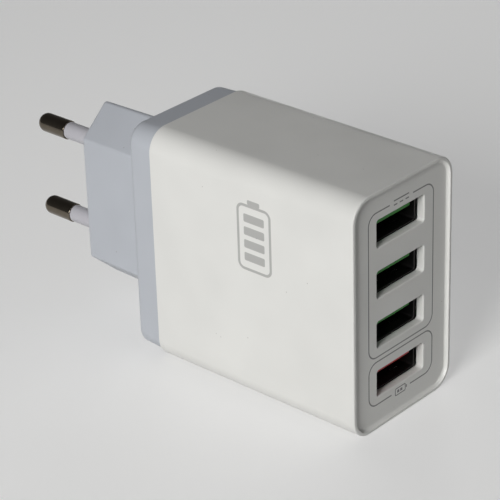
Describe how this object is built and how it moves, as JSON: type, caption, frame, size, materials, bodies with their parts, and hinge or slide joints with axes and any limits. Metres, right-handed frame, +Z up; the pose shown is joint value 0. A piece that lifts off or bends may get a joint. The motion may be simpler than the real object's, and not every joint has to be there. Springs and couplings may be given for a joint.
{
  "type": "usb charger",
  "caption": "Mains USB charger: deep narrow white housing with a recessed panel of stacked USB sockets at the front and a six-sided plug block with sleeved round pins at the rear.",
  "frame": {"origin": "centre of the bounding box in plan, at the base it stands on", "axes": "+Y from the socket panel towards the plug pins, +X across the width, +Z up"},
  "size_m": [0.0292, 0.0952, 0.0494],
  "materials": {
    "shell_white": "warm white moulded plastic with a fine satin texture",
    "cover_white": "cooler bluish white moulded plastic, satin",
    "pin_metal": "nickel plated, turned",
    "sleeve_white": "white insulating sleeve",
    "contact_brass": "plated contact strip",
    "board_green": "glass fibre board under green lacquer",
    "package_black": "black moulded package",
    "package_white": "white moulded package",
    "clear_film": "thin insulating film",
    "ferrite": "sintered ferrite",
    "winding_tape": "yellow insulating tape over the winding",
    "capacitor_dark": "dark printed sleeve, plain",
    "capacitor_green": "green sleeve, plain",
    "resistor_green": "lacquered body",
    "copper_wire": "enamelled copper winding",
    "capacitor_blue": "blue dipped disc",
    "sink_aluminium": "extruded, plain",
    "socket_steel": "plated stamped sheet",
    "tongue_green": "green moulded tongue",
    "tongue_orange": "orange red moulded tongue"
  },
  "bodies": {
    "root": {"front_shell": "shell_white", "rear_cover": "cover_white", "pin_upper": "pin_metal", "pin_lower": "pin_metal", "sleeve_upper": "sleeve_white", "sleeve_lower": "sleeve_white", "contact_upper": "contact_brass", "contact_lower": "contact_brass", "main_board": "board_green", "usb_board": "board_green", "board_header": "package_black", "insulation_sheet": "clear_film", "transformer_core": "ferrite", "transformer_bobbin": "package_black", "transformer_winding": "winding_tape", "input_capacitor_1": "capacitor_dark", "input_capacitor_2": "capacitor_dark", "output_capacitor_1": "capacitor_green", "output_capacitor_2": "capacitor_green", "bridge_rectifier": "package_black", "fuse_resistor": "resistor_green", "choke_core": "ferrite", "choke_winding": "copper_wire", "safety_capacitor": "capacitor_blue", "control_chip": "package_black", "optocoupler": "package_white", "heat_sink": "sink_aluminium", "output_rectifier": "package_black", "port_chips": "package_black", "socket_shell_1": "socket_steel", "socket_tongue_1": "tongue_green", "socket_contacts_1": "contact_brass", "socket_shell_2": "socket_steel", "socket_tongue_2": "tongue_green", "socket_contacts_2": "contact_brass", "socket_shell_3": "socket_steel", "socket_tongue_3": "tongue_green", "socket_contacts_3": "contact_brass", "socket_shell_4": "socket_steel", "socket_tongue_4": "tongue_orange", "socket_contacts_4": "contact_brass"}
  },
  "joints": []
}
